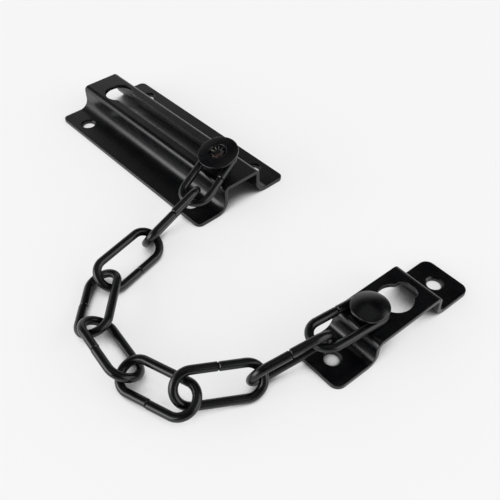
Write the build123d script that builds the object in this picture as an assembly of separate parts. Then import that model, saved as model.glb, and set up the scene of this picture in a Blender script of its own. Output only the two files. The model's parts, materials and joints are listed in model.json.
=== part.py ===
"""A door chain: slotted track plate, riveted slider stud, bent-wire links and a keeper bracket.

Millimetres, +Z out of the door face. The origin is the middle of the track plate's screw pattern, on the
face that lies against the door, and +X runs along the slot towards its closed end.
"""
import os

from math import asin, cos, degrees, radians, sin, sqrt

from build123d import *

# Stock and clearances
sheet = 1.5
wire = 2.7
clearance = 0.35
pin_gap = 0.05
seat_gap = 0.02
edge_round = 0.3

# Screw holes of both plates
hole_radius = 2.4
sink_radius = 2.9

# Track plate: one sheet bent up into a flat-topped channel between two flanges
track_length = 88.0
track_width = 40.4
track_crown = 16.2
track_height = 10.9
track_root = 3.8
track_shoulder = 1.8
track_corner = 2.2
track_hole_inset = 11.0
track_holes_y = 29.8

# Keyhole slot in the crown of the track, and the one in the keeper that parks the stud
eye_radius = 5.5
slot_width = 7.0
eye_inset = 13.3
slot_inset = 7.0
slot_end_round = 3.35
park_reach = 7.4
park_round = 2.2

# Slider stud: foot below the slot, neck through it, domed disc peened on top
stud_play = 1.45
stud_heading = -88.0
stud_lean = 15.0
neck_radius = 2.25
neck_room = 3.35
foot_play = 0.7
foot_thickness = 1.6
disc_radius = 7.25
disc_rim = 0.9
disc_dome = 0.6
pin_radius = 1.7
crater_radius = 3.2
crater_slope = 0.4
crater_depth = 1.0
peen_radius = 2.1
peen_height = 0.6
peen_bowl = 0.8
peen_notch = 0.6
peen_notches = 4

# Chain links
link_length = 27.7
link_width = 12.7
seam_gap = 0.25
seam_chamfer = 0.3

# Keeper bracket and its rivet
keeper_length = 58.0
keeper_width = 17.6
keeper_crown = 28.4
keeper_height = 8.9
keeper_root = 2.75
keeper_shoulder = 2.5
keeper_corner = 3.0
keeper_holes = 45.0
keeper_heading = 87.5
park_x = 2.6
rivet_x = -8.8
rivet_room = 1.3
rivet_bearing = -117.0
rivet_head_radius = 5.8
rivet_head_rim = 0.9
rivet_head_dome = 1.7
rivet_tail_radius = 3.2
rivet_tail_thickness = 1.0

# Worked out from the sizes above: places along the track, a link's bend and straights, its slack round a
# neck, and the heights of both necks
track_holes_x = track_length - 2 * track_hole_inset
eye_x = eye_inset - track_length / 2
slot_end_x = track_length / 2 - slot_inset
stud_x = slot_end_x - neck_radius - stud_play
bend = (link_width - wire) / 2
inner = bend - wire / 2
half_leg = link_length / 2 - wire / 2 - bend
slack = inner - neck_radius - clearance
disc_under = sheet / 2 + wire + neck_room
rivet_neck = wire + rivet_room

# How the slack chain lies, link by link from the stud: heading, tilt and roll in degrees, then where the
# near bend sits from the far bend of the link before it (the first from the stud's neck), ahead, aside and
# above, in inner bend radii, and the leg that carries the seam. Two links tilt until their far bend lies on
# something.
to_table = "table"
to_keeper = "keeper"
lay = [
    (-72, -stud_lean, 0, 0.17, 0.02, -0.06, 1),
    (-84, to_table, 56, 1.52, -0.15, -0.15, 1),
    (-78, 0, -35, 1.66, 0.26, -0.33, 1),
    (-43, 3, 20, 1.33, 0.03, -0.31, -1),
    (-7, 1, -32, 1.14, 0.62, 0.14, -1),
    (15, 6, 22, 1.31, 0.40, -0.19, -1),
    (62, -7, 53, 0.42, 0.97, 0.46, 1),
    (74, 13, -70, 1.63, 0.30, 0.14, -1),
    (82, to_keeper, 0, 1.26, 0.29, 0.33, 1),
]


def corners(sketch, x, y):
    """The outline's corners at plus and minus x, at height y."""
    return sketch.vertices().filter_by(lambda v: abs(abs(v.X) - x) < 0.001 and abs(v.Y - y) < 0.001)


def hat_section(span, crown, height, root, shoulder):
    """A sheet bent up, over and back down, seen along its bends."""
    outer = crown / 2
    inside = outer - sheet
    under = height - sheet
    right = [(inside, 0), (span / 2, 0), (span / 2, sheet), (outer, sheet), (outer, height)]
    left = [(-x, y) for x, y in reversed(right)]
    with BuildSketch() as section:
        with BuildLine():
            Polyline(*right, *left, (-inside, under), (inside, under), close=True)
        make_face()
        fillet(corners(section, inside, 0), root + sheet)
        fillet(corners(section, outer, sheet), root)
        fillet(corners(section, outer, height), shoulder)
        fillet(corners(section, inside, under), max(shoulder - sheet, edge_round))
    return section.sketch


def screw_hole():
    """A countersunk screw hole, seen from the face of the flange."""
    depth = sink_radius - hole_radius
    sink = Pos(0, 0, sheet - depth / 2) * Cone(hole_radius, sink_radius, depth)
    return Cylinder(hole_radius, 4 * sheet) + sink


def keyhole(reach, end_round, height):
    """An eye with a narrower slot running off it along +X, cut through the crown of a plate."""
    with BuildSketch() as outline:
        Circle(eye_radius)
        with Locations((reach / 2, 0)):
            Rectangle(reach, slot_width)
        fillet(outline.vertices().sort_by(Axis.X)[-2:], min(end_round, 0.49 * slot_width))
    return extrude(Pos(0, 0, height - 2 * sheet) * outline.sketch, amount=4 * sheet)


def round_flange_corners(plate, x, y, radius):
    """Round the plate's four outer corners in plan."""
    upright = plate.edges().filter_by(Axis.Z)
    outer = [e for e in upright if abs(abs(e.center().X) - x) < 0.01 and abs(abs(e.center().Y) - y) < 0.01]
    return fillet(outer, radius)


def soften_rim(plate, height, reach_x):
    """Break the sharp upper rim of the keyhole in a plate's crown."""
    rim = []
    for edge in plate.edges():
        middle = edge.center()
        if abs(middle.Z - height) < 0.01 and abs(middle.X) < reach_x and abs(middle.Y) < eye_radius + 0.01:
            rim.append(edge)
    return fillet(rim, edge_round)


def track_plate():
    """The track: a channel with a keyhole slot along its crown and screw holes in its flanges."""
    section = hat_section(track_width, track_crown, track_height, track_root, track_shoulder)
    plate = extrude(Plane.YZ * section, amount=track_length / 2, both=True)
    plate = round_flange_corners(plate, track_length / 2, track_width / 2, track_corner)
    for x in (-track_holes_x / 2, track_holes_x / 2):
        for y in (-track_holes_y / 2, track_holes_y / 2):
            plate -= Pos(x, y, 0) * screw_hole()
    plate -= Pos(eye_x, 0, 0) * keyhole(slot_end_x - eye_x, slot_end_round, track_height)
    return soften_rim(plate, track_height, track_length / 2 - 0.01)


def cap_radius(radius, rise):
    """Radius of the ball whose cap has this base radius and this rise."""
    return (radius ** 2 + rise ** 2) / (2 * rise)


def turned(points, ball=None):
    """A solid of revolution about Z from its half outline, given as radius and height.

    The outline closes with a straight line, or with an arc of the ball's radius.
    """
    with BuildSketch(Plane.XZ) as half:
        with BuildLine():
            Polyline(*points)
            if ball:
                RadiusArc(points[-1], points[0], -ball)
            else:
                Line(points[-1], points[0])
        make_face()
    return revolve(half.sketch, Axis.Z)


def stud_place():
    """Where the stud stands: in the slot, leaning the way the chain pulls it."""
    return Pos(stud_x, 0, track_height - sheet / 2) * Rot(Z=stud_heading) * Rot(Y=stud_lean)


def slider_stud():
    """Foot, neck and pin in one turned piece, its end peened into a broken ring."""
    foot_radius = eye_radius - foot_play
    lean = radians(stud_lean)
    foot_top = -(sheet / 2 + foot_radius * sin(lean) + clearance) / cos(lean)
    foot_low = foot_top - foot_thickness
    floor = disc_under + disc_rim + disc_dome - crater_depth
    peen_top = floor + peen_height
    stud = turned([
        (0, foot_low),
        (foot_radius - edge_round, foot_low),
        (foot_radius, foot_low + edge_round),
        (foot_radius, foot_top),
        (neck_radius, foot_top),
        (neck_radius, disc_under),
        (pin_radius, disc_under),
        (pin_radius, floor),
        (peen_radius, floor),
        (peen_radius, floor + peen_height / 2),
        ((peen_radius + peen_bowl) / 2, peen_top),
        (peen_bowl, floor + peen_height / 2),
        (0, floor),
    ])
    notch = Pos(peen_radius, 0, peen_top) * Rot(Y=45) * Box(peen_notch, peen_notch, peen_notch)
    for i in range(peen_notches):
        stud -= Rot(Z=360 * (i + 0.2) / peen_notches) * notch
    return stud_place() * stud


def stud_disc():
    """The slider's domed disc, with the crater its pin is peened into."""
    under = disc_under + seat_gap
    rim = disc_under + disc_rim
    top = rim + disc_dome
    floor = top - crater_depth - seat_gap
    ball = cap_radius(disc_radius, disc_dome)
    disc = turned([
        (crater_radius, top - ball + sqrt(ball ** 2 - crater_radius ** 2)),
        (crater_radius - crater_slope, floor),
        (pin_radius + pin_gap, floor),
        (pin_radius + pin_gap, under),
        (disc_radius - edge_round, under),
        (disc_radius, under + edge_round),
        (disc_radius, rim),
    ], ball)
    return stud_place() * fillet(disc.edges().filter_by(GeomType.CIRCLE).sort_by(SortBy.LENGTH)[-1:], edge_round)


def link(seam_side):
    """One link: wire bent into a long loop, its two ends butted in the middle of one leg."""
    side = seam_side * bend
    with BuildLine() as path:
        Line((seam_gap / 2, side), (half_leg, side))
        RadiusArc((half_leg, side), (half_leg, -side), side)
        Line((half_leg, -side), (-half_leg, -side))
        RadiusArc((-half_leg, -side), (-half_leg, side), side)
        Line((-half_leg, side), (-seam_gap / 2, side))
    ring = Plane(origin=(seam_gap / 2, side, 0), z_dir=(1, 0, 0)) * Circle(wire / 2)
    loop = sweep(ring, path=path.wire())
    ends = [e for e in loop.edges().filter_by(GeomType.CIRCLE) if abs(e.center().X) < seam_gap]
    return chamfer(ends, seam_chamfer)


def landing_tilt(landing, roll, near_height):
    """Tilt that brings a link's far bend down, or up, on to what it lies on."""
    far_height = wire / 2 + clearance / 2 + bend * abs(sin(radians(roll)))
    if landing == to_keeper:
        far_height = keeper_height + wire / 2 + clearance
    return degrees(asin((far_height - near_height) / (2 * half_leg)))


def chain_places():
    """Where every link lies, and where the rivet of the keeper stands."""
    end = (stud_place() * Pos(0, 0, disc_under - wire / 2 - 2 * clearance)).position
    course = lay[0][0]
    places = []
    for heading, tilt, roll, ahead, aside, above, _ in lay:
        step = Rot(Z=course) * Pos(ahead * inner, aside * inner, above * inner)
        near = end + step.position
        if tilt in (to_table, to_keeper):
            tilt = landing_tilt(tilt, roll, near.Z)
        turn = Rot(Z=heading) * Rot(Y=-tilt) * Rot(X=roll)
        place = Pos(near.X, near.Y, near.Z) * turn * Pos(half_leg, 0, 0)
        places.append(place)
        end = (place * Pos(half_leg, 0, 0)).position
        course = heading
    bearing = radians(course + rivet_bearing)
    return places, end + Vector(slack * cos(bearing), slack * sin(bearing), 0)


def keeper_place():
    """Where the keeper lies, set by the link round its rivet."""
    rivet = chain_places()[1]
    return Pos(rivet.X, rivet.Y, 0) * Rot(Z=keeper_heading) * Pos(-rivet_x, 0, 0)


def keeper_bracket():
    """The keeper: a short bridge of sheet with a screw hole at each foot and a keyhole in its crown."""
    section = hat_section(keeper_length, keeper_crown, keeper_height, keeper_root, keeper_shoulder)
    plate = extrude(Plane.XZ * section, amount=keeper_width / 2, both=True)
    plate = round_flange_corners(plate, keeper_length / 2, keeper_width / 2, keeper_corner)
    for x in (-keeper_holes / 2, keeper_holes / 2):
        plate -= Pos(x, 0, 0) * screw_hole()
    plate -= Pos(park_x, 0, 0) * keyhole(park_reach, park_round, keeper_height)
    plate = soften_rim(plate, keeper_height, keeper_crown / 2 - keeper_shoulder - 0.01)
    plate -= Pos(rivet_x, 0, keeper_height) * Cylinder(pin_radius + pin_gap, 4 * sheet)
    return keeper_place() * plate


def keeper_rivet():
    """The keeper's rivet: domed head, neck for the last link and a tail upset below the sheet."""
    tail_top = keeper_height - sheet - seat_gap
    tail_low = tail_top - rivet_tail_thickness
    seat = keeper_height + seat_gap
    under = keeper_height + rivet_neck
    rim = under + rivet_head_rim
    rivet = turned([
        (0, rim + rivet_head_dome),
        (0, tail_low),
        (rivet_tail_radius - rivet_tail_thickness / 2, tail_low),
        (rivet_tail_radius, tail_low + rivet_tail_thickness / 2),
        (rivet_tail_radius, tail_top),
        (pin_radius, tail_top),
        (pin_radius, seat),
        (neck_radius, seat),
        (neck_radius, under),
        (rivet_head_radius - edge_round, under),
        (rivet_head_radius, under + edge_round),
        (rivet_head_radius, rim),
    ], cap_radius(rivet_head_radius, rivet_head_dome))
    return keeper_place() * Pos(rivet_x, 0, 0) * rivet


def main():
    """Build every piece in place and write one file for each."""
    os.makedirs("parts", exist_ok=True)
    pieces = {
        "track_plate": track_plate(),
        "slider_stud": slider_stud(),
        "stud_disc": stud_disc(),
        "keeper_bracket": keeper_bracket(),
        "keeper_rivet": keeper_rivet(),
    }
    for number, place in enumerate(chain_places()[0], start=1):
        pieces[f"link_{number}"] = place * link(lay[number - 1][-1])
    for name, piece in pieces.items():
        export_step(piece, os.path.join("parts", name + ".step"))


if __name__ == "__main__":
    main()
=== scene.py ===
"""Looks of a door chain: black-coated track, peened slider stud, bent-wire links and a keeper bracket.

Sizes are millimetres unless a name says otherwise, and meshes are written in metres in the frame of the part.
"""

import json
import logging
import math
import random
from collections.abc import Callable, Sequence
from dataclasses import dataclass, field
from enum import Enum
from functools import partial

import bmesh
import bpy
import numpy as np
from mathutils import Matrix, Vector
from mathutils.geometry import delaunay_2d_cdt


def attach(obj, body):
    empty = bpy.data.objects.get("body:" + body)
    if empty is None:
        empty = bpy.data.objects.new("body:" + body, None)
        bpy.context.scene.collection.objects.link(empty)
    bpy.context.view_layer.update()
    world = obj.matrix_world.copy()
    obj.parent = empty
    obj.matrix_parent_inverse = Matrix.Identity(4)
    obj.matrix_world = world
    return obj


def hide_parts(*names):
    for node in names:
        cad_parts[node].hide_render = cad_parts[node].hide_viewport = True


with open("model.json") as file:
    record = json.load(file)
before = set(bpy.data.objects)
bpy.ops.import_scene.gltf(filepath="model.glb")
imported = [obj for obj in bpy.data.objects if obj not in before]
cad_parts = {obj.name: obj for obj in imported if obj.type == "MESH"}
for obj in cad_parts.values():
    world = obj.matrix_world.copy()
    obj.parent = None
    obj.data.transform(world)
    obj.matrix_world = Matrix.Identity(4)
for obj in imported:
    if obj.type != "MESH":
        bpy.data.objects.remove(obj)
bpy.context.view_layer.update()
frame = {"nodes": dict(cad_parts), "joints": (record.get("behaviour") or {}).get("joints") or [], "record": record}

MM = 0.001
log = logging.getLogger("door_chain")

Point = tuple[float, float]
Corner = tuple[float, float, float]
Loop = Callable[[float], list[Point]]

ON_AXIS = 1e-6
NEARLY_STRAIGHT = math.radians(89)
SAME_POINT = 1e-7


def linear(hex_colour: str) -> tuple[float, float, float, float]:
    """Turn an sRGB hex colour into linear light.

    Args:
        hex_colour: Six hex digits with a leading hash.

    Returns:
        Red, green, blue and an alpha of one.
    """
    channels = [int(hex_colour[i:i + 2], 16) / 255 for i in (1, 3, 5)]
    light = [c / 12.92 if c <= 0.04045 else ((c + 0.055) / 1.055) ** 2.4 for c in channels]
    return (*light, 1.0)


def add_node(tree: bpy.types.NodeTree, kind: str, inputs: dict | None = None, **settings) -> bpy.types.Node:
    """Add a node, set its properties, and fill or link its inputs.

    Args:
        tree: The node tree that gets the node.
        kind: Blender's name for the kind of node.
        inputs: Values or sockets by input name or number.
        **settings: Properties of the node.

    Returns:
        The new node.
    """
    node = tree.nodes.new(kind)
    for name, value in settings.items():
        setattr(node, name, value)
    for name, value in (inputs or {}).items():
        if isinstance(value, bpy.types.NodeSocket):
            tree.links.new(value, node.inputs[name])
        else:
            node.inputs[name].default_value = value
    return node


@dataclass(frozen=True)
class BlackCoat:
    """Black electrostatic powder coat over steel, baked to a satin skin.

    It gives the eye a deep black with soft wide highlights, broken up a little by the orange peel of the
    melted powder.
    """

    name: str
    dark: str = "#020204"
    light: str = "#050608"
    cloud_size: float = 9.0
    cloud_range: tuple[float, float] = (0.3, 0.7)
    smooth: float = 0.22
    rough: float = 0.32
    peel_size: float = 0.8
    peel_height: float = 0.003
    grit_size: float = 0.22
    grit_share: float = 0.1
    bare: str = "#a9a49b"
    stain: str = "#3a2016"

    def material(self, broken: bool = False) -> bpy.types.Material:
        """Make the coat's material.

        Args:
            broken: Whether bare steel shows where the piece's own attribute "bare" says so.

        Returns:
            The new material.
        """
        made = bpy.data.materials.new(self.name)
        made.use_nodes = True
        tree = made.node_tree
        tree.nodes.clear()
        place = add_node(tree, "ShaderNodeTexCoord").outputs["Object"]
        clouds = add_node(tree, "ShaderNodeTexNoise", {
            "Vector": place, "Scale": 1 / (self.cloud_size * MM), "Detail": 3.0, "Roughness": 0.6})
        peel = add_node(tree, "ShaderNodeTexNoise", {
            "Vector": place, "Scale": 1 / (self.peel_size * MM), "Detail": 1.5, "Roughness": 0.45})
        grit = add_node(tree, "ShaderNodeTexNoise", {
            "Vector": place, "Scale": 1 / (self.grit_size * MM), "Detail": 2.0})
        colour = add_node(tree, "ShaderNodeMix", {
            "Factor": clouds.outputs["Fac"], 6: linear(self.dark), 7: linear(self.light)}, data_type="RGBA")
        calm, busy = self.cloud_range
        sheen = add_node(tree, "ShaderNodeMapRange", {
            "Value": clouds.outputs["Fac"], "From Min": calm, "From Max": busy,
            "To Min": self.smooth, "To Max": self.rough})
        skin = add_node(tree, "ShaderNodeMix", {
            0: self.grit_share, 2: peel.outputs["Fac"], 3: grit.outputs["Fac"]})
        bump = add_node(tree, "ShaderNodeBump", {
            "Strength": 1.0, "Distance": self.peel_height * MM, "Height": skin.outputs[0]})
        shader = add_node(tree, "ShaderNodeBsdfPrincipled", {
            "Base Color": colour.outputs[2], "Roughness": sheen.outputs["Result"],
            "Normal": bump.outputs["Normal"]})
        if broken:
            self.break_through(tree, shader, colour.outputs[2])
        add_node(tree, "ShaderNodeOutputMaterial", {"Surface": shader.outputs["BSDF"]})
        return made

    def break_through(self, tree: bpy.types.NodeTree, shader: bpy.types.Node,
                      coat: bpy.types.NodeSocket) -> None:
        """Show bare steel and a little stain where the coat has cracked off.

        Args:
            tree: The material's tree.
            shader: The shader that takes the colour.
            coat: The coat's own colour.
        """
        bare = add_node(tree, "ShaderNodeAttribute", attribute_name="bare").outputs["Fac"]
        stain = add_node(tree, "ShaderNodeAttribute", attribute_name="stain").outputs["Fac"]
        stained = add_node(tree, "ShaderNodeMix", {
            "Factor": stain, 6: coat, 7: linear(self.stain)}, data_type="RGBA")
        shown = add_node(tree, "ShaderNodeMix", {
            "Factor": bare, 6: stained.outputs[2], 7: linear(self.bare)}, data_type="RGBA")
        tree.links.new(shown.outputs[2], shader.inputs["Base Color"])
        tree.links.new(bare, shader.inputs["Metallic"])


SHEET_COAT = BlackCoat("black_powder_coat_on_sheet")
WIRE_COAT = BlackCoat("black_powder_coat_on_wire", smooth=0.24, rough=0.33, cloud_size=5.0)
TURNED_COAT = BlackCoat("black_powder_coat_on_turned_steel", smooth=0.22, rough=0.30, cloud_size=4.0)
PEENED_COAT = BlackCoat("black_powder_coat_cracked_off_steel", smooth=0.34, rough=0.46, cloud_size=4.0)


def add_solid(name: str, points: Sequence[Vector], faces: Sequence[Sequence[int]], normals: Sequence[Vector],
              place: Matrix) -> bpy.types.Object:
    """Make a closed solid with its own vertex normals, in place.

    Args:
        name: The piece's name.
        points: Corners in millimetres, in the piece's own frame.
        faces: Corner numbers of each face.
        normals: The surface's true normal at each corner.
        place: Where the piece's own frame lies, in millimetres.

    Returns:
        The new object, at the origin, with its place in its mesh.
    """
    mesh = bpy.data.meshes.new(name)
    mesh.from_pydata([place @ p * MM for p in points], [], faces)
    shape = bmesh.new()
    shape.from_mesh(mesh)
    bmesh.ops.recalc_face_normals(shape, faces=shape.faces)
    shape.to_mesh(mesh)
    shape.free()
    mesh.shade_smooth()
    turn = place.to_3x3()
    mesh.normals_split_custom_set_from_vertices([(turn @ n).normalized() for n in normals])
    piece = bpy.data.objects.new(name, mesh)
    bpy.context.scene.collection.objects.link(piece)
    return piece


def hand_over(piece: bpy.types.Object, coat: bpy.types.Material, body: str, node: str) -> None:
    """Dress a finished piece, let it ride on its body and stand for its solid.

    Args:
        piece: The finished object.
        coat: Its material.
        body: The body it moves with.
        node: The solid it stands for.
    """
    piece.data.materials.clear()
    piece.data.materials.append(coat)
    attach(piece, body)
    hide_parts(node)
    log.info("%s: %d faces on %s", piece.name, len(piece.data.polygons), body)


def profile_normals(profile: Sequence[Point]) -> list[Point]:
    """Normals along an open outline, on its right hand, each weighted by the lengths beside it.

    Args:
        profile: The outline's points in order.

    Returns:
        One unit normal for each point.
    """
    steps = [(b[0] - a[0], b[1] - a[1]) for a, b in zip(profile, profile[1:])]
    found = []
    for i in range(len(profile)):
        beside = steps[max(i - 1, 0):i + 1]
        x = sum(step[1] for step in beside)
        y = -sum(step[0] for step in beside)
        size = math.hypot(x, y) or 1.0
        found.append((x / size, y / size))
    return found


def arc(centre: Point, radius: float, start: float, end: float, steps: int) -> list[Point]:
    """Points along an arc.

    Args:
        centre: The arc's centre.
        radius: Its radius.
        start: First angle in degrees.
        end: Last angle in degrees.
        steps: How many steps it is cut into.

    Returns:
        The points, with both ends.
    """
    angles = [math.radians(start + (end - start) * i / steps) for i in range(steps + 1)]
    return [(centre[0] + radius * math.cos(a), centre[1] + radius * math.sin(a)) for a in angles]


class SlotRun(Enum):
    """Which way a keyhole's slot runs over its plate."""

    ALONG_BENDS = "along"
    ACROSS_BENDS = "across"


@dataclass(frozen=True)
class Keyhole:
    """An eye with a narrower slot running off it."""

    eye: float
    reach: float
    run: SlotRun
    end_round: float
    eye_radius: float = 5.5
    half_width: float = 3.5
    steps: int = 14

    def outline(self, into: float) -> list[Point]:
        """The keyhole's outline on the flat blank.

        Args:
            into: How far the outline is moved into the sheet.

        Returns:
            Points as distance across the bends and along them.
        """
        radius = self.eye_radius + into
        half = self.half_width + into
        end = self.reach + into
        turn = self.end_round + into
        meet = math.degrees(math.asin(half / radius))
        points = arc((0, 0), radius, meet, 360 - meet, 3 * self.steps)
        points += arc((end - turn, turn - half), turn, -90, 0, self.steps)
        points += arc((end - turn, half - turn), turn, 0, 90, self.steps)
        if self.run is SlotRun.ALONG_BENDS:
            return [(y, self.eye + x) for x, y in points]
        return [(self.eye + x, y) for x, y in points]


@dataclass(frozen=True)
class ScrewHole:
    """A screw hole, countersunk where its sink is wider than the hole."""

    out: float
    along: float
    radius: float = 2.4
    sink_radius: float = 2.9
    lip: float = 0.08
    steps: int = 48

    def outline(self, across: float, into: float) -> list[Point]:
        """The hole's outline on the flat blank, at its distance over the sheet, moved into the sheet."""
        return arc((across, self.along), self.radius + into, 0, 360, self.steps)[:-1]

    def rim(self, sheet: float) -> list[Point]:
        """The section of the hole's wall, with its countersink if it has one.

        Args:
            sheet: The sheet's thickness.

        Returns:
            Points as distance into the sheet and depth below its face.
        """
        sink = self.sink_radius - self.radius
        low = [(0, sheet - self.lip), (self.lip, sheet)]
        if sink <= 0:
            return [(self.lip, 0), (0, self.lip), *low]
        half = self.lip / 2
        return [(sink + self.lip, 0), (sink, half), (half, sink - half), (0, sink + self.lip), *low]


@dataclass
class PressedSheet:
    """A plate pressed from one blank: a raised flat crown between two flanges."""

    name: str
    node: str
    body: str
    run: float
    span: float
    crown: float
    height: float
    root: float
    shoulder: float
    corner: float
    keyhole: Keyhole
    holes: list[ScrewHole]
    place: Matrix
    sheet: float = 1.5
    edge: float = 0.28
    bend_steps: int = 12
    corner_steps: int = 8
    edge_steps: int = 4
    points: list[Vector] = field(default_factory=list)
    normals: list[Vector] = field(default_factory=list)
    faces: list[tuple[int, ...]] = field(default_factory=list)

    def stretches(self) -> tuple[float, float, float, float, float]:
        """Measure half the section over the face of the sheet.

        Returns:
            Where the crown, the shoulder, the wall, the root and the flange end.
        """
        crown = self.crown / 2 - self.shoulder
        over = crown + self.shoulder * math.pi / 2
        wall = over + self.height - self.shoulder - self.sheet - self.root
        foot = wall + self.root * math.pi / 2
        edge = foot + self.span / 2 - self.crown / 2 - self.root
        return crown, over, wall, foot, edge

    def over_sheet(self, out: float) -> float:
        """Distance over the face of the sheet to a point of the crown or a flange, from its distance out."""
        flange = abs(out) - self.crown / 2 - self.root
        return out if flange < 0 else math.copysign(self.stretches()[3] + flange, out)

    def bend_lines(self) -> list[float]:
        """Find the lines along which the sheet bends.

        Returns:
            Their distances from the middle, over the face of the sheet.
        """
        crown, over, wall, foot, _ = self.stretches()
        steps = range(self.bend_steps + 1)
        half = [crown + (over - crown) * i / self.bend_steps for i in steps]
        half += [wall + (foot - wall) * i / self.bend_steps for i in steps]
        return [-s for s in reversed(half)] + half

    def press(self, across: float, along: float, depth: float) -> tuple[Vector, Vector, Vector]:
        """Carry a point of the flat blank to its place in the bent plate.

        Args:
            across: Distance from the middle, over the face of the sheet.
            along: Distance along the bends.
            depth: Depth below the face.

        Returns:
            The point, the face's normal and the direction across the bends there.
        """
        crown, over, wall, foot, _ = self.stretches()
        side = math.copysign(1, across)
        s = abs(across)
        if s <= crown:
            y, z, turn = s, self.height, 0.0
        elif s <= over:
            turn = (s - crown) / self.shoulder
            y = self.crown / 2 - self.shoulder + self.shoulder * math.sin(turn)
            z = self.height - self.shoulder + self.shoulder * math.cos(turn)
        elif s <= wall:
            y, z, turn = self.crown / 2, self.height - self.shoulder - (s - over), math.pi / 2
        elif s <= foot:
            turn = math.pi / 2 - (s - wall) / self.root
            y = self.crown / 2 + self.root - self.root * math.sin(turn)
            z = self.sheet + self.root - self.root * math.cos(turn)
        else:
            y, z, turn = self.crown / 2 + self.root + s - foot, self.sheet, 0.0
        normal = Vector((0, side * math.sin(turn), math.cos(turn)))
        tangent = Vector((0, math.cos(turn), -side * math.sin(turn)))
        return Vector((along, side * y, z)) - depth * normal, normal, tangent

    def outline(self, into: float) -> list[Point]:
        """The blank's own outline, with a point at every bend line.

        Args:
            into: How far the outline is moved into the sheet.

        Returns:
            Points as distance across the bends and along them.
        """
        across = self.stretches()[-1] - into
        along = self.run / 2 - into
        turn = self.corner - into
        lines = self.bend_lines()
        points = arc((across - turn, along - turn), turn, 0, 90, self.corner_steps)
        points += [(s, along) for s in reversed(lines)]
        points += arc((turn - across, along - turn), turn, 90, 180, self.corner_steps)
        points += arc((turn - across, turn - along), turn, 180, 270, self.corner_steps)
        points += [(s, -along) for s in lines]
        points += arc((across - turn, turn - along), turn, 270, 360, self.corner_steps)
        return points

    def edge_rim(self) -> list[Point]:
        """The cut edge of the sheet, broken round on both faces."""
        rounded = arc((self.edge, self.edge), self.edge, 270, 180, self.edge_steps)
        return rounded + [(into, self.sheet - depth) for into, depth in reversed(rounded)]

    def add_rim(self, outline: Loop, rim: Sequence[Point]) -> tuple[list[int], list[int]]:
        """Build the wall round one cut in the sheet.

        Args:
            outline: The cut's outline on the blank, for a distance into the sheet.
            rim: The wall's section, from the upper face to the lower one.

        Returns:
            Corner numbers round the cut on the upper and on the lower face.
        """
        turns = [(-out, -down) for out, down in profile_normals(rim)]
        turns[0] = (0, -1)
        turns[-1] = (0, 1)
        bare = outline(0)
        moved = outline(self.edge)
        rings = []
        for (into, depth), (out, down) in zip(rim, turns):
            ring = []
            for (s, w), (s_0, w_0), (s_1, w_1) in zip(outline(into), bare, moved):
                point, normal, tangent = self.press(s, w, depth)
                away = (s_0 - s_1) * tangent + Vector((w_0 - w_1, 0, 0))
                ring.append(len(self.points))
                self.points.append(point)
                self.normals.append(-out * away.normalized() - down * normal)
            rings.append(ring)
        for upper, lower in zip(rings, rings[1:]):
            for i in range(len(upper)):
                self.faces.append((upper[i - 1], upper[i], lower[i], lower[i - 1]))
        return rings[0], rings[-1]

    def add_face(self, rings: Sequence[list[int]], outlines: Sequence[list[Point]]) -> None:
        """Fill one face of the sheet between its outline and its holes.

        Args:
            rings: Corner numbers, the outer ring first.
            outlines: The same rings on the flat blank.
        """
        numbers = [n for ring in rings for n in ring]
        flat = [Vector(p) for outline in outlines for p in outline]
        edges = []
        start = 0
        for ring in rings:
            edges += [(start + i, start + (i + 1) % len(ring)) for i in range(len(ring))]
            start += len(ring)
        ends: dict[float, list[int]] = {}
        for i, (s, _) in enumerate(outlines[0]):
            ends.setdefault(round(s, 6), []).append(i)
        edges += [tuple(ends[round(s, 6)]) for s in self.bend_lines()]
        corners, _, triangles, origins, _, _ = delaunay_2d_cdt(flat, edges, [], 0, SAME_POINT)
        for triangle in triangles:
            middle = sum((corners[i] for i in triangle), Vector((0, 0))) / 3
            if not any(inside(middle, hole) for hole in outlines[1:]):
                self.faces.append(tuple(numbers[origins[i][0]] for i in triangle))

    def build(self) -> bpy.types.Object:
        """Build the plate's mesh.

        Returns:
            The plate, in place.
        """
        cuts = [(self.outline, self.edge_rim()), (self.keyhole.outline, self.edge_rim())]
        for hole in self.holes:
            cuts.append((partial(hole.outline, self.over_sheet(hole.out)), hole.rim(self.sheet)))
        rings = [self.add_rim(outline, rim) for outline, rim in cuts]
        self.add_face([upper for upper, _ in rings], [outline(rim[0][0]) for outline, rim in cuts])
        self.add_face([lower for _, lower in rings], [outline(rim[-1][0]) for outline, rim in cuts])
        return add_solid(self.name, self.points, self.faces, self.normals, self.place)

    def dress(self, piece: bpy.types.Object, coat: bpy.types.Material) -> None:
        """Coat the plate and hand it over."""
        hand_over(piece, coat, self.body, self.node)


def inside(point: Vector, outline: Sequence[Point]) -> bool:
    """Whether a point lies inside a closed outline.

    Args:
        point: The point.
        outline: The outline's corners.

    Returns:
        True if it lies inside.
    """
    crossings = 0
    for (x_0, y_0), (x_1, y_1) in zip(outline, [*outline[1:], outline[0]]):
        if (y_0 > point.y) != (y_1 > point.y):
            crossings += point.x < x_0 + (x_1 - x_0) * (point.y - y_0) / (y_1 - y_0)
    return crossings % 2 == 1


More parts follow.
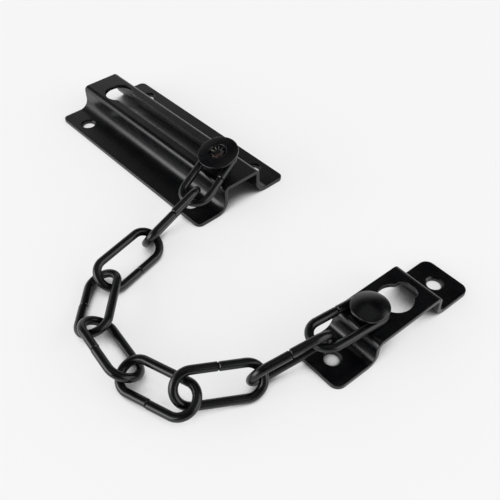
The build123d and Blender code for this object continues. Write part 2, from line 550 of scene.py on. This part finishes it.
def rounded_outline(corners: Sequence[Corner], steps: int = 5) -> list[Point]:
    """An open outline with its corners rounded.

    Args:
        corners: Radius, height and rounding of each corner.
        steps: How many steps a rounding is cut into.

    Returns:
        The points of the outline.
    """
    points = [Vector(corner[:2]) for corner in corners]
    outline = [tuple(points[0])]
    for before, here, after, corner in zip(points, points[1:], points[2:], corners[1:]):
        back = (before - here).normalized()
        ahead = (after - here).normalized()
        half = math.acos(max(-1.0, min(1.0, back.dot(ahead)))) / 2
        size = corner[2]
        if size == 0 or half > NEARLY_STRAIGHT:
            outline.append(tuple(here))
            continue
        middle = here + (back + ahead).normalized() * size / math.sin(half)
        start = here + back * size / math.tan(half) - middle
        end = here + ahead * size / math.tan(half) - middle
        turn = start.angle_signed(end)
        for i in range(steps + 1):
            spoke = start.copy()
            spoke.rotate(Matrix.Rotation(-turn * i / steps, 2))
            outline.append(tuple(middle + spoke))
    outline.append(tuple(points[-1]))
    return outline


def dome(radius: float, base: float, rise: float, stop: float, steps: int = 14) -> list[Corner]:
    """Corners along a domed top, from its rim inwards.

    Args:
        radius: The rim's radius.
        base: The rim's height.
        rise: How far the dome's top stands above the rim.
        stop: The radius it ends at.
        steps: How many steps it is cut into.

    Returns:
        The corners after the rim, as radius, height and no rounding.
    """
    ball = (radius ** 2 + rise ** 2) / (2 * rise)
    radii = [radius + (stop - radius) * i / steps for i in range(1, steps + 1)]
    return [(r, base + rise - ball + math.sqrt(ball ** 2 - r ** 2), 0) for r in radii]


@dataclass
class TurnedPiece:
    """A piece turned about its own axis."""

    name: str
    node: str
    body: str
    corners: list[Corner]
    place: Matrix
    sides: int = 96

    def shape(self, radius: float, angle: float, height: float) -> Vector:
        """Where a point of the turned outline ends up."""
        return Vector((radius * math.cos(angle), radius * math.sin(angle), height))

    def build(self) -> bpy.types.Object:
        """Build the turned piece's mesh.

        Returns:
            The piece, in place.
        """
        outline = rounded_outline(self.corners)
        slopes = profile_normals(outline)
        points, normals, rings = [], [], []
        for (radius, height), (out, up) in zip(outline, slopes):
            count = 1 if radius < ON_AXIS else self.sides
            ring = []
            for i in range(count):
                angle = math.tau * i / self.sides
                ring.append(len(points))
                points.append(self.shape(radius, angle, height))
                slope = Vector((out * math.cos(angle), out * math.sin(angle), up))
                normals.append(Vector((0, 0, math.copysign(1, up))) if count == 1 else slope)
            rings.append(ring)
        faces = []
        for lower, upper in self.ring_pairs(rings):
            for i in range(self.sides):
                corners = [lower[i % len(lower)], lower[(i + 1) % len(lower)],
                           upper[(i + 1) % len(upper)], upper[i % len(upper)]]
                faces.append(tuple(dict.fromkeys(corners)))
        return add_solid(self.name, points, faces, normals, self.place)

    def ring_pairs(self, rings: list[list[int]]) -> list[tuple[list[int], list[int]]]:
        """Pair neighbouring rings, and the last with the first where the piece is a ring itself.

        Args:
            rings: Corner numbers of each ring.

        Returns:
            The pairs to be joined by faces.
        """
        pairs = list(zip(rings, rings[1:]))
        if len(rings[0]) > 1:
            pairs.append((rings[-1], rings[0]))
        return pairs

    def dress(self, piece: bpy.types.Object, coat: bpy.types.Material) -> None:
        """Coat the piece and hand it over."""
        hand_over(piece, coat, self.body, self.node)


@dataclass(frozen=True)
class TornLip:
    """One lip of a peened end: where it stands, how wide and high it is, and how bare and stained."""

    at: float
    half_width: float
    rise: float
    bare: float = 0.0
    stain: float = 0.0

    def swell(self, angle: float) -> float:
        """How much of the lip stands at an angle, from none to all of it."""
        off = abs((math.degrees(angle) - self.at + 180) % 360 - 180)
        return math.cos(min(off / self.half_width, 1.0) * math.pi / 2) ** 2


@dataclass
class PeenedStud(TurnedPiece):
    """The slider stud, whose end is peened over into torn lips."""

    peen_floor: float = 0.0
    lowest: float = 0.2
    drawn_in: float = 0.25
    worn_from: float = 0.8
    wear_power: int = 3
    coat_holds_below: float = 0.02
    coat_holds_within: float = 0.5
    lips: tuple[TornLip, ...] = ()

    def shape(self, radius: float, angle: float, height: float) -> Vector:
        """Where a point ends up: the peened end is torn into lips of different heights.

        Args:
            radius: Its distance from the axis.
            angle: Its angle round the axis.
            height: Its height along the axis.

        Returns:
            The moved point.
        """
        above = height - self.peen_floor
        if above > 0:
            stand = max([self.lowest] + [lip.rise * lip.swell(angle) for lip in self.lips])
            height = self.peen_floor + above * stand
            radius *= 1 - self.drawn_in + self.drawn_in * stand
        return super().shape(radius, angle, height)

    def build(self) -> bpy.types.Object:
        """Build the stud's mesh and mark where its coat has cracked off.

        Returns:
            The stud, in place.
        """
        stud = super().build()
        back = self.place.inverted()
        bare = stud.data.attributes.new("bare", "FLOAT", "POINT")
        stain = stud.data.attributes.new("stain", "FLOAT", "POINT")
        for i, corner in enumerate(stud.data.vertices):
            x, y, z = back @ (corner.co / MM)
            if z > self.peen_floor + self.coat_holds_below and math.hypot(x, y) > self.coat_holds_within:
                angle = math.atan2(y, x)
                crest = min(1.0, (z - self.peen_floor) / self.worn_from) ** self.wear_power
                bare.data[i].value = max(lip.bare * lip.swell(angle) for lip in self.lips) * crest
                stain.data[i].value = max(lip.stain * lip.swell(angle) for lip in self.lips)
        stud.data.update()
        return stud


@dataclass
class BentWireChain:
    """Links bent from round wire, each with its two ends butted in the middle of one leg."""

    count: int = 9
    wire: float = 2.7
    length: float = 27.7
    width: float = 12.7
    seam_gap: float = 0.05
    seam_chamfer: float = 0.3
    seam_shift: float = 0.22
    points: int = 101
    sides: int = 36
    crease: float = 35.0
    seed: int = 7
    inputs: dict[str, str] = field(default_factory=dict)

    def tree(self) -> bpy.types.NodeTree:
        """Build the node tree that bends one link.

        Returns:
            The tree, with an input for every size.
        """
        tree = bpy.data.node_groups.new("bent_wire_link", "GeometryNodeTree")
        seam_points = 2.0
        half_step = 0.5
        kinds = {
            "Wire Radius": "Float", "Bend Radius": "Float", "Half Leg": "Float", "Seam Gap": "Float",
            "Seam Chamfer": "Float", "Seam Shift": "Vector", "Points": "Int", "Sides": "Int",
            "Coat": "Material"}
        for name, kind in kinds.items():
            socket = tree.interface.new_socket(name, in_out="INPUT", socket_type="NodeSocket" + kind)
            self.inputs[name] = socket.identifier
        tree.interface.new_socket("Link", in_out="OUTPUT", socket_type="NodeSocketGeometry")
        size = add_node(tree, "NodeGroupInput").outputs

        def sum_of(operation: str, *values: bpy.types.NodeSocket | float) -> bpy.types.NodeSocket:
            """The result of one sum on numbers."""
            return add_node(tree, "ShaderNodeMath", dict(enumerate(values)), operation=operation).outputs[0]

        index = add_node(tree, "GeometryNodeInputIndex").outputs[0]
        last = sum_of("SUBTRACT", size["Points"], 1.0)
        from_end = sum_of("MINIMUM", index, sum_of("SUBTRACT", last, index))
        side = sum_of("SIGN", sum_of("SUBTRACT", sum_of("DIVIDE", last, 2.0), index))
        turn = add_node(tree, "ShaderNodeMapRange", {
            "Value": index, "From Min": seam_points, "From Max": sum_of("SUBTRACT", last, seam_points),
            "To Min": math.pi / 2, "To Max": -3 * math.pi / 2}).outputs["Result"]
        in_leg = sum_of("LESS_THAN", from_end, seam_points - half_step)
        half_gap = sum_of("DIVIDE", size["Seam Gap"], 2.0)
        seam_x = sum_of("MULTIPLY_ADD", from_end, size["Seam Chamfer"], half_gap)
        reach = add_node(tree, "GeometryNodeSwitch", {
            "Switch": in_leg, "False": size["Half Leg"], "True": seam_x}, input_type="FLOAT").outputs[0]
        bulge = sum_of("MULTIPLY", size["Bend Radius"], sum_of("COSINE", turn))
        x = sum_of("MULTIPLY_ADD", side, reach, bulge)
        y = sum_of("MULTIPLY", size["Bend Radius"], sum_of("SINE", turn))
        spine = add_node(tree, "ShaderNodeCombineXYZ", {"X": x, "Y": y}).outputs[0]
        push = add_node(tree, "ShaderNodeVectorMath", {
            0: size["Seam Shift"], "Scale": sum_of("MULTIPLY", side, in_leg)}, operation="SCALE").outputs[0]
        route = add_node(tree, "ShaderNodeVectorMath", {0: spine, 1: push}, operation="ADD").outputs[0]
        line = add_node(tree, "GeometryNodeCurvePrimitiveLine").outputs[0]
        blank = add_node(tree, "GeometryNodeResampleCurve", {
            "Curve": line, "Count": size["Points"]}).outputs[0]
        bent = add_node(tree, "GeometryNodeSetPosition", {"Geometry": blank, "Position": route}).outputs[0]
        ring = add_node(tree, "GeometryNodeCurvePrimitiveCircle", {
            "Resolution": size["Sides"], "Radius": size["Wire Radius"]}).outputs[0]
        narrow = sum_of("SUBTRACT", 1.0, sum_of("DIVIDE", size["Seam Chamfer"], size["Wire Radius"]))
        at_end = sum_of("LESS_THAN", from_end, half_step)
        taper = add_node(tree, "GeometryNodeSwitch", {
            "Switch": at_end, "False": 1.0, "True": narrow}, input_type="FLOAT").outputs[0]
        tube = add_node(tree, "GeometryNodeCurveToMesh", {
            "Curve": bent, "Profile Curve": ring, "Scale": taper, "Fill Caps": True}).outputs[0]
        smooth = add_node(tree, "GeometryNodeSetShadeSmooth", {"Geometry": tube}).outputs[0]
        fold = add_node(tree, "GeometryNodeInputMeshEdgeAngle").outputs["Unsigned Angle"]
        sharp = sum_of("GREATER_THAN", fold, math.radians(self.crease))
        creased = add_node(tree, "GeometryNodeSetShadeSmooth", {
            "Geometry": smooth, "Selection": sharp, "Shade Smooth": False}, domain="EDGE").outputs[0]
        real = add_node(tree, "GeometryNodeRealizeInstances", {"Geometry": creased}).outputs[0]
        coated = add_node(tree, "GeometryNodeSetMaterial", {
            "Geometry": real, "Material": size["Coat"]}).outputs[0]
        add_node(tree, "NodeGroupOutput", {"Link": coated})
        return tree

    def place(self, node: str) -> Matrix:
        """Find how a link lies from its solid.

        Args:
            node: The link's solid.

        Returns:
            Its frame in millimetres: along the link, across it towards the seam, and through it.
        """
        mesh = frame["nodes"][node].data
        corners = np.array([v.co for v in mesh.vertices]) / MM
        triangles = corners[np.array([list(p.vertices) for p in mesh.polygons])]
        sides = np.cross(triangles[:, 1] - triangles[:, 0], triangles[:, 2] - triangles[:, 0])
        area = np.linalg.norm(sides, axis=1)
        middles = triangles.mean(axis=1)
        axes = np.linalg.eigh(np.cov(middles.T, aweights=area))[1][:, ::-1]
        local = corners @ axes
        centre = (local.min(axis=0) + local.max(axis=0)) / 2
        local -= centre
        if local[np.abs(local[:, 0]) < 2 * self.seam_chamfer, 1].mean() < 0:
            axes[:, 1] = -axes[:, 1]
            centre[1] = -centre[1]
        along, across = Vector(axes[:, 0]), Vector(axes[:, 1])
        turn = Matrix((along, across, along.cross(across))).transposed()
        return Matrix.Translation(Vector(axes @ centre)) @ turn.to_4x4()

    def build(self, coat: bpy.types.Material) -> list[bpy.types.Object]:
        """Bend every link and lay it in place.

        Args:
            coat: The wire's material.

        Returns:
            The links in order from the stud.
        """
        tree = self.tree()
        draw = random.Random(self.seed)
        bend = (self.width - self.wire) / 2
        links = []
        for number in range(1, self.count + 1):
            shift = (0, draw.uniform(-1, 1) * self.seam_shift / 2, draw.uniform(-1, 1) * self.seam_shift / 2)
            sizes = {
                "Wire Radius": self.wire / 2, "Bend Radius": bend,
                "Half Leg": self.length / 2 - self.wire / 2 - bend, "Seam Gap": self.seam_gap,
                "Seam Chamfer": self.seam_chamfer, "Seam Shift": shift, "Points": self.points,
                "Sides": self.sides, "Coat": coat,
            }
            link = bpy.data.objects.new(f"wire_link_{number}", bpy.data.meshes.new(f"wire_link_{number}"))
            bpy.context.scene.collection.objects.link(link)
            bender = link.modifiers.new("bender", "NODES")
            bender.node_group = tree
            for name, value in sizes.items():
                bender[self.inputs[name]] = value
            evaluated = link.evaluated_get(bpy.context.evaluated_depsgraph_get())
            bent = bpy.data.meshes.new_from_object(evaluated)
            link.modifiers.clear()
            link.data = bent
            bent.transform(Matrix.Scale(MM, 4) @ self.place(f"link_{number}"))
            links.append(link)
        return links

    def dress(self, links: Sequence[bpy.types.Object], coat: bpy.types.Material) -> None:
        """Coat the links and hand them over."""
        for number, link in enumerate(links, start=1):
            hand_over(link, coat, f"link_{number}", f"link_{number}")


@dataclass(frozen=True)
class Lamp:
    """A soft box that faces the object."""

    name: str
    towards: tuple[float, float, float]
    distance: float
    wide: float
    high: float
    radiance: float

    def add(self, aim: Vector) -> None:
        """Add the lamp.

        Args:
            aim: The point it faces, in metres.
        """
        light = bpy.data.lights.new(self.name, "AREA")
        light.shape = "RECTANGLE"
        light.size = self.wide
        light.size_y = self.high
        light.energy = self.radiance * math.pi * self.wide * self.high
        lamp = bpy.data.objects.new(self.name, light)
        away = Vector(self.towards).normalized()
        lamp.location = aim + away * self.distance
        lamp.rotation_euler = away.to_track_quat("Z", "Y").to_euler()
        bpy.context.scene.collection.objects.link(lamp)


@dataclass(frozen=True)
class SkyBand:
    """How bright the surroundings are from the horizon up, and what share of that the right side has."""

    horizon: float
    overhead: float
    fades: tuple[float, float]
    right_share: float = 1.0
    turns_at: tuple[float, float] = (-0.15, -0.7)

    def strength(self, tree: bpy.types.NodeTree, way: bpy.types.NodeSocket) -> bpy.types.NodeSocket:
        """Add the nodes that turn a direction into brightness.

        Args:
            tree: The world's tree.
            way: The direction.

        Returns:
            The brightness.
        """
        parts = add_node(tree, "ShaderNodeSeparateXYZ", {0: way}).outputs
        starts, ends = self.fades
        fade = add_node(tree, "ShaderNodeMapRange", {
            "Value": parts["Z"], "From Min": starts, "From Max": ends, "To Min": self.horizon,
            "To Max": self.overhead}, interpolation_type="SMOOTHSTEP")
        right, left = self.turns_at
        share = add_node(tree, "ShaderNodeMapRange", {
            "Value": parts["X"], "From Min": right, "From Max": left, "To Min": self.right_share,
            "To Max": 1.0}, interpolation_type="SMOOTHSTEP")
        return add_node(tree, "ShaderNodeMath", {
            0: fade.outputs["Result"], 1: share.outputs["Result"]}, operation="MULTIPLY").outputs[0]


@dataclass
class Studio:
    """White table, soft boxes and camera."""

    camera_at: tuple[float, float, float] = (183.2, -122.76, 160.95)
    camera_aim: tuple[float, float, float] = (63.38, -14.15, 0.0)
    lens: float = 49.38
    sensor: float = 36.0
    table_colour: str = "#f4f4f4"
    table_size: float = 6.0
    table_glow: float = 0.96
    glow_share: float = 0.66
    # The board's painted shade: how far ambient occlusion reaches, the occlusion range it fades over, and the
    # colour share left in full painted shade.
    painted_shade_reach: float = 30.0
    painted_shade_range: tuple[float, float] = (0.22, 0.56)
    painted_shade_level: float = 0.4
    tent: SkyBand = SkyBand(horizon=2.1, overhead=0.2, fades=(0.0, 0.80))
    mirrored: SkyBand = SkyBand(horizon=0.85, overhead=0.02, fades=(0.28, 0.68), right_share=0.06)
    lamps: tuple[Lamp, ...] = (
        Lamp("left_front_box", (-0.33, -0.90, 0.29), distance=2.0, wide=1.95, high=1.1, radiance=4.2),
        Lamp("right_box", (0.80, 0.46, 0.37), distance=2.0, wide=2.4, high=1.7, radiance=1.9),
        Lamp("top_box", (0.0, 0.0, 1.0), distance=1.5, wide=1.4, high=1.4, radiance=0.25),
    )

    def add_table(self) -> None:
        """Add the table that the object lies on."""
        half = self.table_size / 2
        mesh = bpy.data.meshes.new("table")
        corners = [(-half, -half, 0), (half, -half, 0), (half, half, 0), (-half, half, 0)]
        mesh.from_pydata(corners, [], [(0, 1, 2, 3)])
        table = bpy.data.objects.new("table", mesh)
        bpy.context.scene.collection.objects.link(table)
        mesh.materials.append(self.board())

    def board(self) -> bpy.types.Material:
        """Make the matt white board, which looks overexposed except where the object shades it, in real shadow and
        in painted shade.

        Returns:
            The new material.
        """
        made = bpy.data.materials.new("matt_white_board")
        made.use_nodes = True
        tree = made.node_tree
        tree.nodes.clear()
        # Painted shade: ambient occlusion near and under the object darkens the board's colour towards the shade
        # colour.
        open_sky = add_node(tree, "ShaderNodeAmbientOcclusion", {"Distance": self.painted_shade_reach * MM})
        dark, full = self.painted_shade_range
        paper = linear(self.table_colour)
        shade = [*(channel * self.painted_shade_level for channel in paper[:3]), 1.0]
        unshaded_share = add_node(tree, "ShaderNodeMapRange", {
            "Value": open_sky.outputs["AO"], "From Min": dark, "From Max": full},
            interpolation_type="SMOOTHSTEP")
        colour = add_node(tree, "ShaderNodeMix", {
            "Factor": unshaded_share.outputs["Result"], 6: shade, 7: paper}, data_type="RGBA")
        lit = add_node(tree, "ShaderNodeBsdfDiffuse", {"Color": colour.outputs[2]})
        # The white glow carries the same painted shade, fading where the object hides the sky.
        glow = add_node(tree, "ShaderNodeMath", {
            0: unshaded_share.outputs["Result"], 1: self.table_glow}, operation="MULTIPLY")
        white = add_node(tree, "ShaderNodeEmission", {"Color": (1, 1, 1, 1), "Strength": glow.outputs[0]})
        ray = add_node(tree, "ShaderNodeLightPath").outputs
        mirrored = add_node(tree, "ShaderNodeMath", {
            0: ray["Is Glossy Ray"], 1: ray["Is Transmission Ray"]}, operation="MAXIMUM")
        seen = add_node(tree, "ShaderNodeMath", {
            0: ray["Is Camera Ray"], 1: mirrored.outputs[0]}, operation="MAXIMUM")
        share = add_node(tree, "ShaderNodeMath", {
            0: seen.outputs[0], 1: self.glow_share}, operation="MULTIPLY")
        both = add_node(tree, "ShaderNodeMixShader", {
            0: share.outputs[0], 1: lit.outputs[0], 2: white.outputs[0]})
        add_node(tree, "ShaderNodeOutputMaterial", {"Surface": both.outputs[0]})
        return made

    def add_world(self) -> None:
        """Add the light tent: bright low down, dark overhead, and darker in what the coat mirrors."""
        world = bpy.data.worlds.new("light_tent")
        world.use_nodes = True
        tree = world.node_tree
        tree.nodes.clear()
        way = add_node(tree, "ShaderNodeTexCoord").outputs["Generated"]
        mirrored = add_node(tree, "ShaderNodeLightPath").outputs["Is Glossy Ray"]
        strength = add_node(tree, "ShaderNodeMix", {
            0: mirrored, 2: self.tent.strength(tree, way), 3: self.mirrored.strength(tree, way)})
        sky = add_node(tree, "ShaderNodeBackground", {"Color": (1, 1, 1, 1), "Strength": strength.outputs[0]})
        add_node(tree, "ShaderNodeOutputWorld", {"Surface": sky.outputs[0]})
        bpy.context.scene.world = world

    def add_camera(self) -> None:
        """Add the camera at the photograph's angle."""
        eye = bpy.data.cameras.new("camera")
        eye.lens = self.lens
        eye.sensor_width = self.sensor
        camera = bpy.data.objects.new("camera", eye)
        camera.location = Vector(self.camera_at) * MM
        ahead = Vector(self.camera_aim) - Vector(self.camera_at)
        camera.rotation_euler = ahead.to_track_quat("-Z", "Y").to_euler()
        bpy.context.scene.collection.objects.link(camera)
        bpy.context.scene.camera = camera

    def build(self) -> None:
        """Set up the table, the light and the camera."""
        self.add_camera()
        self.add_table()
        self.add_world()
        for lamp in self.lamps:
            lamp.add(Vector(self.camera_aim) * MM)
        bpy.context.scene.view_settings.view_transform = "Standard"


def joint(name: str) -> tuple[Vector, Vector]:
    """Where a joint's axis passes, in millimetres, and its direction.

    Args:
        name: The joint's name.

    Returns:
        A point on the axis and its direction.
    """
    found = next(j for j in frame["joints"] if j["name"] == name)
    return Vector(found["pos_m"]) / MM, Vector(found["axis"])


def mount(name: str) -> Vector:
    """Where a mount is, in millimetres.

    Args:
        name: The mount's name.

    Returns:
        Its point.
    """
    found = next(m for m in frame["record"]["mounts"] if m["name"] == name)
    return Vector(found["pos_m"]) / MM


def keeper_place() -> Matrix:
    """Find where the keeper lies from its two screw holes.

    Returns:
        Its frame in millimetres, with X along it, away from the chain.
    """
    near, far = mount("keeper_screw_chain_end"), mount("keeper_screw_free_end")
    middle = (near + far) / 2
    heading = math.atan2(far.y - near.y, far.x - near.x)
    return Matrix.Translation((middle.x, middle.y, 0)) @ Matrix.Rotation(heading, 4, "Z")


def stud_place() -> Matrix:
    """Find where the leaning stud stands from the hinge of the first link.

    Returns:
        Its frame in millimetres, with Z along its neck.
    """
    point, axis = joint("link_1_swing")
    heading = math.atan2(axis.y, axis.x)
    lean = math.acos(axis.z)
    return Matrix.Translation(point) @ Matrix.Rotation(heading, 4, "Z") @ Matrix.Rotation(lean, 4, "Y")


def track() -> PressedSheet:
    """The slotted track plate.

    Returns:
        The plate, ready to build.
    """
    out, along = 14.9, 33.0
    holes = [ScrewHole(y, x) for y in (-out, out) for x in (-along, along)]
    return PressedSheet(
        "slotted_track", "track_plate", "track", run=88.0, span=40.4, crown=16.2, height=10.9, root=3.8,
        shoulder=1.8, corner=2.2, keyhole=Keyhole(-30.7, 67.7, SlotRun.ALONG_BENDS, 3.35), holes=holes,
        place=Matrix.Identity(4))


def keeper() -> PressedSheet:
    """The keeper bracket.

    Returns:
        The bracket, ready to build.
    """
    screw_out, rivet_out, rivet_bore = 22.5, 8.8, 1.75
    holes = [ScrewHole(-screw_out, 0), ScrewHole(screw_out, 0)]
    holes.append(ScrewHole(-rivet_out, 0, radius=rivet_bore, sink_radius=rivet_bore))
    return PressedSheet(
        "keeper_bridge", "keeper_bracket", "keeper", run=17.6, span=58.0, crown=28.4, height=8.9, root=2.75,
        shoulder=2.5, corner=3.0, keyhole=Keyhole(2.6, 7.4, SlotRun.ACROSS_BENDS, 2.2), holes=holes,
        place=keeper_place() @ Matrix.Rotation(-math.pi / 2, 4, "Z"))


def stud() -> PeenedStud:
    """The slider stud: foot, neck and torn end.

    Returns:
        The stud, ready to build.
    """
    foot, foot_low, foot_top = 4.8, -4.03, -2.43
    neck, neck_top = 2.25, 6.8
    pin, peen_floor = 1.7, 7.3
    corners = [
        (0, foot_low, 0), (foot, foot_low, 0.3), (foot, foot_top, 0.2), (neck, foot_top, 0.15),
        (neck, neck_top, 0.05), (pin, neck_top, 0), (pin, peen_floor, 0), (2.35, 7.34, 0.05),
        (2.92, 7.75, 0.1), (2.3, 8.15, 0.15), (1.2, 7.6, 0.15), (0, 7.4, 0)]
    lips = (
        TornLip(217, 13, 0.9, bare=0.5), TornLip(248, 14, 1.0, bare=0.9), TornLip(287, 16, 1.0, bare=0.9),
        TornLip(325, 22, 0.75), TornLip(0, 20, 0.7, stain=0.8), TornLip(40, 24, 0.85, stain=1.0),
        TornLip(85, 22, 0.7, stain=0.9), TornLip(130, 24, 0.75, stain=0.3), TornLip(175, 20, 0.8))
    return PeenedStud("peened_stud", "slider_stud", "slider", corners, stud_place(), sides=180,
                      peen_floor=peen_floor, lips=lips)


def disc() -> TurnedPiece:
    """The slider's disc, with the crater round the peened end.

    Returns:
        The disc, ready to build.
    """
    bore, bore_round = 1.75, 0.05
    low, edge, rim, rise = 6.82, 7.25, 7.7, 0.6
    crater, crater_foot, crater_floor, crater_round = 3.2, 2.8, 7.28, 0.3
    # The outline starts and ends on the flat underside, so that its two ends meet without an edge.
    start, end = 4.0, 2.5
    corners = [(start, low, 0), (edge, low, 0.25), (edge, rim, 0.3)]
    corners += dome(edge, rim, rise, crater)
    corners[-1] = (*corners[-1][:2], crater_round)
    corners += [(crater_foot, crater_floor, 0.15), (bore, crater_floor, bore_round), (bore, low, bore_round)]
    corners.append((end, low, 0))
    return TurnedPiece("cratered_disc", "stud_disc", "slider", corners, stud_place(), sides=128)


def rivet() -> TurnedPiece:
    """The keeper's rivet, with a domed head.

    Returns:
        The rivet, ready to build.
    """
    tail, tail_low, tail_top, tail_chamfer = 3.2, 6.38, 7.38, 0.5
    shank, crown_top = 1.7, 8.92
    neck, head_low = 2.25, 12.9
    head, head_edge, rise = 5.8, 13.8, 1.7
    corners = [
        (0, tail_low, 0), (tail - tail_chamfer, tail_low, 0.3), (tail, tail_low + tail_chamfer, 0.3),
        (tail, tail_top, 0.1), (shank, tail_top, 0), (shank, crown_top, 0), (neck, crown_top, 0.05),
        (neck, head_low, 0.05), (head, head_low, 0.3), (head, head_edge, 0.35)]
    corners += dome(head, head_edge, rise, 0.0)
    point, _ = joint("keeper_swing")
    place = Matrix.Translation((point.x, point.y, 0))
    return TurnedPiece("domed_rivet", "keeper_rivet", "keeper", corners, place)


def main() -> None:
    """Build every piece in order, then the studio."""
    logging.basicConfig(level=logging.INFO, format="%(message)s")
    sheet_coat = SHEET_COAT.material()
    for plate in (track(), keeper()):
        plate.dress(plate.build(), sheet_coat)
    turned_coat = TURNED_COAT.material()
    for piece in (disc(), rivet()):
        piece.dress(piece.build(), turned_coat)
    torn = stud()
    torn.dress(torn.build(), PEENED_COAT.material(broken=True))
    wire_coat = WIRE_COAT.material()
    chain = BentWireChain()
    chain.dress(chain.build(wire_coat), wire_coat)
    Studio().build()


if __name__ == "__main__":
    main()
